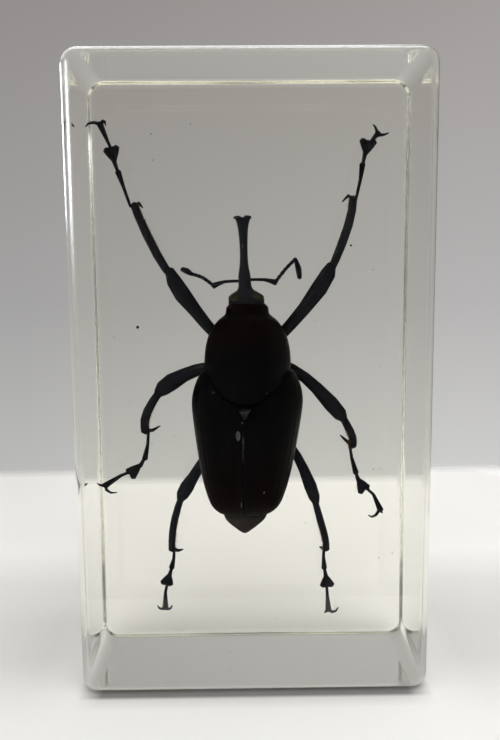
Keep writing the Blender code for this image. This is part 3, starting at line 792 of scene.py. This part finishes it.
class WEEVIL_OT_belly(bpy.types.Operator):
    """Makes the underside with its creases and the pointed tail plate"""

    bl_idname = "weevil.belly"
    bl_label = "Belly"

    def execute(self, context):
        belly = smooth_plate("abdomen", "belly", 0.1 * MM)
        self.crease(belly)
        tuck_forward(belly, 31.0, 35.0, 1.1)
        reshape(belly, self.point_tail)
        settings = context.scene.weevil_shell

        def tail_plate(tree, point):
            height = axis_of(tree, point, "Z")
            return remap(tree, height, 19.6 * MM, 18.8 * MM, 0.35, 1.0), settings.tail

        material = make_shell_material("belly cuticle", settings, tail_redness,
                                       overlay=tail_plate)
        finish_piece(belly, material, "red_black_shell", "abdomen")
        return {"FINISHED"}

    @staticmethod
    def crease(belly):
        """Presses the joints between the belly's plates into its underside."""
        joints = (31.5, 27.2, 24.9, 22.8, 20.6)
        half_width = 0.3
        deepest = 0.14
        normals = [vertex.normal.copy() for vertex in belly.data.vertices]
        for vertex, normal in zip(belly.data.vertices, normals):
            x, y, z = vertex.co / MM
            below = share_between(y, TRUNK_Y + 0.5, TRUNK_Y + 2.0)
            bow = 0.02 * (x - TRUNK_X) ** 2
            nearest = min(abs(z - bow - joint) for joint in joints)
            depth = deepest * max(1 - nearest / half_width, 0.0) ** 2
            vertex.co -= normal * MM * depth * below
        belly.data.update()

    @staticmethod
    def point_tail(x, y, z):
        """Gives the tail plate straight sides and a shorter point."""
        middle = TRUNK_X - TAIL_LEAN * (TAIL_LEAN_START_Z - z)
        widen = 0.1 * share_between(z, 21.0, 19.4) * share_between(z, 17.2, 18.6)
        shift = 0.05 * share_between(z, 20.0, 18.0)
        lift = 0.36 * share_between(z, 19.8, 16.7)
        return middle + (x - middle) * (1 + widen) - shift, y, z + lift


class WEEVIL_OT_head(bpy.types.Operator):
    """Makes the head with its long snout and the eyes"""

    bl_idname = "weevil.head"
    bl_label = "Head and Snout"

    def execute(self, context):
        settings = context.scene.weevil_shell
        head = smooth_plate("head_and_rostrum", "head_and_snout", 0.03 * MM)
        reshape(head, self.fill_out)
        material = make_shell_material(
            "head cuticle", settings, even_redness(0.1), pit_scale=5600,
            black=settings.limb)
        finish_piece(head, material, "black_shell", "head_and_rostrum")
        finish_piece(self.make_eyes(head), make_eye_material(settings), "black_shell")
        finish_piece(self.make_mouth(), material, "black_shell")
        return {"FINISHED"}

    @staticmethod
    def fill_out(x, y, z):
        """Rounds the back of the head to a dome and draws its neck into the collar."""
        middle = -0.62
        neck = 1.4 * share_between(z, 45.9, 45.7)
        dome = 0.17 * share_between(z, 47.0, 46.5) - 0.09 * share_between(z, 46.3, 45.8)
        return middle + (x - middle) * (1 + dome), y, z - neck

    @staticmethod
    def make_eyes(head):
        """A pair of low oval eyes, raised a little from the flanks of the head."""
        head_middle = -0.66
        eye_aside, eye_height = 1.4, 46.36
        half_width, half_height = 0.74, 0.6

        def outside(face):
            x, _, z = face.center / MM
            aside = (abs(x - head_middle) - eye_aside) / half_width
            return aside ** 2 + ((z - eye_height) / half_height) ** 2 > 1

        eyes = head.copy()
        eyes.data = head.data.copy()
        eyes.name = "eyes"
        bpy.context.scene.collection.objects.link(eyes)
        select_elements(eyes, "FACE", outside)
        bpy.ops.mesh.delete(type="FACE")
        bpy.ops.object.mode_set(mode="OBJECT")
        apply_modifier(eyes, "SOLIDIFY", thickness=0.14 * MM, offset=0.0)
        select_only(eyes)
        bpy.ops.object.shade_smooth()
        return eyes

    @staticmethod
    def make_mouth():
        """The two short lobes that spread at the end of the snout."""
        lobes = ((-1.62, 55.72, 0.46, 0.22, -0.1), (-1.25, 55.5, 0.42, 0.26, 0.5),
                 (-0.36, 55.76, 0.48, 0.22, 0.1), (-0.62, 55.52, 0.42, 0.26, -0.5))
        return scattered_balls("mouth_lobes", 4, [
            (Vector((x, 0.8, z)) * MM, Matrix.Rotation(lean, 4, "Y"),
             Vector((half_length, 0.3, half_height)) * MM)
            for x, z, half_length, half_height, lean in lobes])


class WEEVIL_OT_antennae(bpy.types.Operator):
    """Makes the two elbowed, beaded antennae"""

    bl_idname = "weevil.antennae"
    bl_label = "Antennae"

    def execute(self, context):
        settings = context.scene.weevil_shell
        material = make_shell_material(
            "antenna cuticle", settings, even_redness(0.1), pit_scale=8000,
            black=settings.limb)
        for node in ("antenna_left", "antenna_right"):
            feeler = smooth_limb(node, node + "_beads", 0.035 * MM, 0.05 * MM)
            reshape(feeler, self.reach_snout)
            finish_piece(feeler, material, "black_shell", node)
        return {"FINISHED"}

    @staticmethod
    def reach_snout(x, y, z):
        """Draws the root of a stalk out until it stands in the snout."""
        middle = -0.85
        pull = 0.5 * (1 - share_between(abs(x - middle), 0.6, 1.6))
        return x - math.copysign(pull, x - middle), y - 0.4 * pull, z


class WEEVIL_OT_legs(bpy.types.Operator):
    """Makes the six legs with the golden fringes of their shins and feet"""

    bl_idname = "weevil.legs"
    bl_label = "Legs"

    def execute(self, context):
        settings = context.scene.weevil_shell
        material = make_shell_material(
            "leg cuticle", settings, even_redness(0.15), pit_scale=5600,
            black=settings.limb)
        gold = make_hair_material(settings)
        for seed, node in enumerate(SHINS):
            leg = smooth_limb(node, node + "_limb", 0.065 * MM, 0.035 * MM)
            finish_piece(leg, material, "black_shell", node)
            fringe = self.grow_fringe(leg, node, seed, settings.hairs_per_shin)
            finish_piece(fringe, gold, "black_shell")
        return {"FINISHED"}

    @staticmethod
    def grow_fringe(leg, node, seed, count):
        """Hairs along the inner side of a shin, and short ones under the heart."""
        chance = random.Random(seed)
        start, end, spur = (Vector((x, 0, z)) * MM for x, z in SHINS[node])
        heart = Vector((HEARTS[node][0], 0, HEARTS[node][1])) * MM
        along = (end - start).normalized()
        inner = spur - end
        inner = (inner - along * inner.dot(along)).normalized()
        length = (end - start).length
        near = 1.1 * MM
        sunk = 0.02 * MM
        shin_roots = []
        foot_roots = []
        for vertex in leg.data.vertices:
            flat = Vector((vertex.co.x, 0, vertex.co.z))
            share = (flat - start).dot(along) / length
            across = (flat - start - along * share * length).length
            if 0.1 < share < 0.98 and across < near and vertex.normal.dot(inner) > 0.55:
                shin_roots.append((vertex.co.copy(), vertex.normal.copy(), share))
            if (flat - heart).length < near and abs(vertex.normal.y) < 0.75:
                foot_roots.append((vertex.co.copy(), vertex.normal.copy()))
        hairs = []
        for _ in range(count):
            root, normal, share = chance.choice(shin_roots)
            if chance.random() > 0.35 + 0.65 * share:
                continue
            lean = normal + along * chance.uniform(0.5, 1.2)
            lean += Vector([chance.uniform(-0.25, 0.25) for _ in range(3)])
            reach = chance.uniform(0.22, 0.42) * (0.6 + 0.6 * share) * MM
            hairs.append((root - normal * sunk, lean, along, reach, 0.03 * MM))
        for _ in range(count // 2):
            root, normal = chance.choice(foot_roots)
            lean = normal + Vector([chance.uniform(-0.4, 0.4) for _ in range(3)])
            reach = chance.uniform(0.08, 0.18) * MM
            hairs.append((root - normal * sunk, lean, along, reach, 0.022 * MM))
        return scattered_copies(hair_prototype(), node + "_hairs",
                                [hair_placement(*hair) for hair in hairs])


class WEEVIL_OT_air_films(bpy.types.Operator):
    """Lays the films of trapped air on the insect's back, pale with painted reflections, and a
    painted glint on the snout
    """

    bl_idname = "weevil.air_films"
    bl_label = "Air Films"

    def execute(self, context):
        context.view_layer.update()
        carriers = [bpy.data.objects[name]
                    for name in ("front_shield", "wing_case_left", "wing_case_right",
                                 "head_and_snout")]
        ovals = []
        for x, z, half_width, half_height in AIR_FILMS_AND_GLINTS:
            hits = []
            for aside in (0.0, -AIR_FILM_REACH, AIR_FILM_REACH):
                for carrier in carriers:
                    found, place, normal, _ = carrier.ray_cast(
                        Vector((x + aside, FRONT_BOX[0].y / MM, z)) * MM, Vector((0, 1, 0)))
                    if found:
                        hits.append((abs(aside), place.y, normal.copy()))
            if not hits:
                raise RuntimeError(f"no shell under the air film at {x}, {z}")
            _, surface_y, normal = min(hits, key=lambda hit: hit[:2])
            place = Vector((x * MM, surface_y, z * MM))
            turn = Vector((0, -1, 0)).rotation_difference(normal).to_matrix().to_4x4()
            ovals.append((place, turn, Vector((half_width, 0.05, half_height)) * MM))
        finish_piece(scattered_balls("air_films", 4, ovals), make_painted_glint_material(),
                     "clear_resin")
        return {"FINISHED"}


class WEEVIL_OT_specks(bpy.types.Operator):
    """Scatters the dust sealed in the resin"""

    bl_idname = "weevil.specks"
    bl_label = "Dust"

    def execute(self, context):
        chance = random.Random(7)
        ovals = []
        for x, z, size in SPECKS:
            turn = Matrix.Rotation(chance.uniform(0, math.pi), 4, "Y")
            halves = Vector((chance.uniform(0.5, 0.9), 0.4, chance.uniform(0.3, 0.6)))
            ovals.append((Vector((x, 0, z)) * MM, turn, halves * size * MM))
        finish_piece(scattered_balls("sealed_dust", 2, ovals), make_speck_material(),
                     "black_shell")
        return {"FINISHED"}


class WEEVIL_OT_stage(bpy.types.Operator):
    """Sets the pale table, the wall, the lights and the camera"""

    bl_idname = "weevil.stage"
    bl_label = "Stage"

    def execute(self, context):
        settings = context.scene.weevil_stage
        self.add_table(settings)
        self.add_wall(settings)
        self.add_room(context, settings)
        self.add_dark_card("dim_card", (0, -38, 250), 0, (800, 500))
        self.add_dark_card("side_card", (105, 37, 150), -46, (160, 300))
        self.add_lights(settings)
        self.add_camera(context, settings)
        context.scene.view_settings.view_transform = "Standard"
        return {"FINISHED"}

    @staticmethod
    def add_plane(name, middle, turn, size, cuts, material):
        """A plane of the stage, cut into a grid."""
        deselect_everything()
        bpy.ops.mesh.primitive_plane_add(size=1.0, location=middle, rotation=turn)
        plane = bpy.context.object
        plane.name = name
        plane.scale = (*size, 1)
        place_at_origin(plane)
        if cuts:
            edit_whole(plane, bpy.ops.mesh.subdivide, number_cuts=cuts)
        plane.data.materials.append(material)
        return plane

    @classmethod
    def add_table(cls, settings):
        """A pale table top that ends in a soft straight edge behind the block."""
        near = -0.6
        far = settings.table_edge + 5 * MM
        softness = 4 * MM
        material, tree, shader = new_material("pale table", 0.55, 0.3)
        point = object_point(tree)
        aside = axis_of(tree, point, "X")
        depth = axis_of(tree, point, "Y")
        darker = [0.97 * channel for channel in settings.table]
        colour = blend_colours(tree, noise(tree, point, 14, 3.0), darker, settings.table)
        # Painted light and shade on the table: paler to the right, dimmer near the camera, far
        # behind and well before the block, dim beside the block and under its front edge.
        colour = paler_to_the_right(tree, colour, aside, 50 * MM, 0.89, 1.01)
        near_light = remap(tree, depth, -25 * MM, 20 * MM, 0.85, 1.05)
        far_light = remap(tree, depth, 25 * MM, 45 * MM, 1.0, 0.94)
        light_before_picture = remap(tree, depth, -120 * MM, -40 * MM, 0.2, 1.0)
        light = multiply(
            tree, cls.light_beside(tree, aside, depth, settings.shadow),
            cls.light_at_contact(tree, aside, depth),
            near_light, far_light, light_before_picture)
        cover = remap(tree, depth, settings.table_edge - softness,
                      settings.table_edge + softness, 1.0, 0.0)
        # The emission paints the glow of light that the block lets down on the table under it.
        fill(tree, shader, Base_Color=dimmed(tree, colour, light), Emission_Color=settings.table,
             Emission_Strength=cls.light_through_block(tree, aside, depth), Alpha=cover)
        cls.add_plane("table_top", (0, (near + far) / 2, -settings.table_gap), (0, 0, 0),
                      (1.4, far - near), 12, material)

    @staticmethod
    def light_beside(tree, aside, depth, least):
        """Share of light left in the dim bands on both sides of the block."""
        off_middle = calculate(tree, "ABSOLUTE", calculate(tree, "SUBTRACT", depth, 8 * MM))
        shade = remap(tree, off_middle, 12 * MM, 26 * MM, 1.0 - least, 0.0)
        off_side = calculate(tree, "ABSOLUTE", aside)
        beside = remap(tree, off_side, 20 * MM, 27 * MM, 0.0, 1.0)
        return one_less(tree, multiply(tree, shade, beside))

    @staticmethod
    def light_at_contact(tree, aside, depth):
        """Share of light left where the table lies under and before the front edge."""
        front = FRONT_BOX[0].y
        back = BACK_BOX[1].y
        before = remap(tree, depth, front - 3.2 * MM, front - 1.1 * MM, 1.0, 0.8)
        under = remap(tree, depth, front - 1.15 * MM, front - 0.5 * MM, 1.0, 0.3)
        behind = remap(tree, depth, back - 3 * MM, back - 1 * MM, 0.0, 1.0)
        light = calculate(tree, "MAXIMUM", multiply(tree, before, under), behind)
        off_side = calculate(tree, "ABSOLUTE", aside)
        inside = remap(tree, off_side, 21.0 * MM, 18.0 * MM, 0.0, 1.0)
        return one_less(tree, multiply(tree, one_less(tree, light), inside))

    @staticmethod
    def light_through_block(tree, aside, depth):
        """Light that the clear block lets down on the table that it covers."""
        light = 1.5
        inset = 1 * MM
        for place, low, high in ((aside, FRONT_BOX[0].x, BACK_BOX[1].x),
                                 (depth, FRONT_BOX[0].y, BACK_BOX[1].y)):
            past_low = remap(tree, place, low + inset, low + 2 * inset, 0.0, 1.0)
            before_high = remap(tree, place, high - 2 * inset, high - inset, 1.0, 0.0)
            light = multiply(tree, light, past_low, before_high)
        return light

    @staticmethod
    def shade_of_wall(tree, height, levels, aside, reach, settings):
        """The wall's colour from low to overhead, at five levels of a height socket."""
        ramp = tree.nodes.new("ShaderNodeValToRGB")
        low, ceiling = levels[0], levels[-1]
        for _ in range(3):
            ramp.color_ramp.elements.new(0.5)
        colours = (settings.wall_low, settings.wall_middle, settings.wall_high,
                   settings.wall_high, settings.overhead)
        for stop, level, colour in zip(ramp.color_ramp.elements, levels, colours):
            stop.position = (level - low) / (ceiling - low)
            stop.color = (*colour, 1.0)
        fill(tree, ramp, Fac=remap(tree, height, low, ceiling, 0.0, 1.0))
        return paler_to_the_right(tree, ramp.outputs["Color"], aside, reach, 0.89, 1.11)

    @classmethod
    def add_wall(cls, settings):
        """The wall behind the table, as the resin sees it, with dusk at its far left."""
        material, tree, shader = new_material("grey wall", 1.0, 0.0)
        point = object_point(tree)
        aside = axis_of(tree, point, "X")
        heights = (2 * MM, 43 * MM, 114 * MM, 140 * MM, 300 * MM)
        shade = cls.shade_of_wall(
            tree, axis_of(tree, point, "Z"), heights, aside, 57 * MM, settings)
        dusk = remap(tree, aside, -54 * MM, -44 * MM, 0.1, 1.0)
        fill(tree, shader, Base_Color=(0.0, 0.0, 0.0), Emission_Color=shade,
             Emission_Strength=dusk)
        wall = cls.add_plane("wall", (0, settings.table_edge + 6 * MM, 0.22),
                             (math.pi / 2, 0, 0), (1.4, 0.6), 8, material)
        wall.visible_camera = False
        wall.visible_glossy = False

    @classmethod
    def add_room(cls, context, settings):
        """The world: the same wall ahead, and the dim room on the camera's side."""
        world = bpy.data.worlds.new("grey room")
        world.use_nodes = True
        context.scene.world = world
        tree = world.node_tree
        direction = tree.nodes.new("ShaderNodeTexCoord").outputs["Generated"]
        rises = [math.sin(math.radians(angle)) for angle in (-14.0, -1.7, 19.5, 28.0, 60.0)]
        wall_shade = cls.shade_of_wall(tree, axis_of(tree, direction, "Z"), rises,
                                       axis_of(tree, direction, "X"), 0.29, settings)
        ahead = remap(tree, axis_of(tree, direction, "Y"), -0.75, 0.05, 0.0, 1.0)
        colour = blend_colours(tree, ahead, settings.room_dark, wall_shade)
        fill(tree, tree.nodes["Background"], Color=colour)

    @classmethod
    def add_dark_card(cls, name, middle, turn, size):
        """A dark upright card, in mm and degrees, which only mirror reflections see."""
        material, tree, shader = new_material("dark card", 0.9, 0.0)
        fill(tree, shader, Base_Color=(0.01, 0.01, 0.01))
        card = cls.add_plane(name, Vector(middle) * MM, (math.pi / 2, 0, math.radians(turn)),
                             Vector(size) * MM, 0, material)
        for ray in ("camera", "diffuse", "transmission", "shadow", "volume_scatter"):
            setattr(card, "visible_" + ray, False)

    @classmethod
    def add_lights(cls, settings):
        """A soft ceiling, and windows and lamps that only the block's edges show."""
        cls.add_light("ceiling", (0.03, -0.03, 0.6), (0.03, -0.03, 0.0), (2.0, 2.0),
                      settings.ceiling_power, (1.0, 0.995, 0.985), "dg")
        block_middle = (0.0, 0.0, 0.05)
        below = (0.0, 0.0, 0.0)
        daylight = (0.90, 0.96, 1.0)
        windows = (
            ("window_back_low", (-0.36, 0.3, 0.138), block_middle, (0.3, 0.079), 0.5, "g"),
            ("window_back_high", (-0.36, 0.3, 0.2), block_middle, (0.3, 0.027), 0.2, "g"),
            ("window_front_low", (-0.32, -0.25, 0.125), block_middle, (0.2, 0.065), 1.2, "g"),
            ("window_front_high", (-0.32, -0.25, 0.176), block_middle, (0.2, 0.022), 0.4, "g"),
            ("window_right", (1.0, 0.02, 0.257), block_middle, (1.2, 0.076), 0.6, "t"),
            ("lamp_left", (-0.1, 0.08, 0.47), below, (0.07, 0.28), 0.13, "g"),
            ("lamp_right", (0.13, 0.08, 0.47), below, (0.13, 0.28), 0.3, "g"),
        )
        for name, place, target, size, share, rays in windows:
            cls.add_light(name, place, target, size, settings.window_power * share,
                          daylight, rays)

    @staticmethod
    def add_light(name, place, target, size, power, colour, rays):
        """An area light the camera doesn't see.

        The letters of rays say what it counts for: d for light on the pieces, g for
        mirror reflections and t for what shows through the resin.
        """
        bpy.ops.object.light_add(type="AREA", location=place)
        light = bpy.context.object
        light.name = name
        light.data.shape = "RECTANGLE"
        light.data.size, light.data.size_y = size
        light.data.energy = power
        light.data.color = colour
        towards = Vector(target) - Vector(place)
        light.rotation_euler = towards.to_track_quat("-Z", "Y").to_euler()
        light.visible_camera = False
        light.visible_diffuse = "d" in rays
        light.visible_glossy = "g" in rays
        light.visible_transmission = "t" in rays

    @staticmethod
    def add_camera(context, settings):
        """A camera a little above the block's middle, looking slightly down."""
        yaw = math.radians(0.6)
        pitch = math.radians(7.1)
        roll = math.radians(-0.46)
        ahead = Vector((math.sin(yaw) * math.cos(pitch), math.cos(yaw) * math.cos(pitch),
                        -math.sin(pitch)))
        right = Vector((math.cos(yaw), -math.sin(yaw), 0.0))
        up = right.cross(ahead)
        rolled_right = math.cos(roll) * right + math.sin(roll) * up
        rolled_up = -math.sin(roll) * right + math.cos(roll) * up
        bpy.ops.object.camera_add(location=Vector((-1.166, -93.43, 48.5)) * MM)
        camera = bpy.context.object
        turn = Matrix((rolled_right, rolled_up, -ahead)).transposed()
        camera.rotation_euler = turn.to_euler()
        camera.data.lens = settings.lens
        camera.data.sensor_width = 36.0
        camera.data.clip_start = 1 * MM
        camera.data.clip_end = 10.0
        context.scene.camera = camera


class WEEVIL_PT_sidebar(bpy.types.Panel):
    """The weevil's pieces and settings"""

    bl_label = "Weevil in Resin"
    bl_idname = "WEEVIL_PT_sidebar"
    bl_space_type = "VIEW_3D"
    bl_region_type = "UI"
    bl_category = "Weevil"

    def draw(self, context):
        layout = self.layout
        for settings in (context.scene.weevil_resin, context.scene.weevil_shell,
                         context.scene.weevil_stage):
            box = layout.box()
            for name in settings.__annotations__:
                box.prop(settings, name)
        for operator in OPERATORS:
            layout.operator(operator.bl_idname)


SETTINGS = (ResinSettings, ShellSettings, StageSettings)
OPERATORS = (
    WEEVIL_OT_resin_block,
    WEEVIL_OT_front_shield,
    WEEVIL_OT_wing_cases,
    WEEVIL_OT_triangle,
    WEEVIL_OT_belly,
    WEEVIL_OT_head,
    WEEVIL_OT_antennae,
    WEEVIL_OT_legs,
    WEEVIL_OT_air_films,
    WEEVIL_OT_specks,
    WEEVIL_OT_stage,
)


def register():
    """Registers the settings, the operators and the panel."""
    for item in (*SETTINGS, *OPERATORS, WEEVIL_PT_sidebar):
        bpy.utils.register_class(item)
    bpy.types.Scene.weevil_resin = PointerProperty(type=ResinSettings)
    bpy.types.Scene.weevil_shell = PointerProperty(type=ShellSettings)
    bpy.types.Scene.weevil_stage = PointerProperty(type=StageSettings)


def unregister():
    """Takes them all away again."""
    del bpy.types.Scene.weevil_stage
    del bpy.types.Scene.weevil_shell
    del bpy.types.Scene.weevil_resin
    for item in reversed((*SETTINGS, *OPERATORS, WEEVIL_PT_sidebar)):
        bpy.utils.unregister_class(item)


def main():
    """Builds everything in order."""
    register()
    bpy.ops.weevil.resin_block()
    bpy.ops.weevil.front_shield()
    bpy.ops.weevil.wing_cases()
    bpy.ops.weevil.triangle()
    bpy.ops.weevil.belly()
    bpy.ops.weevil.head()
    bpy.ops.weevil.antennae()
    bpy.ops.weevil.legs()
    bpy.ops.weevil.air_films()
    bpy.ops.weevil.specks()
    bpy.ops.weevil.stage()


if __name__ == "__main__":
    main()
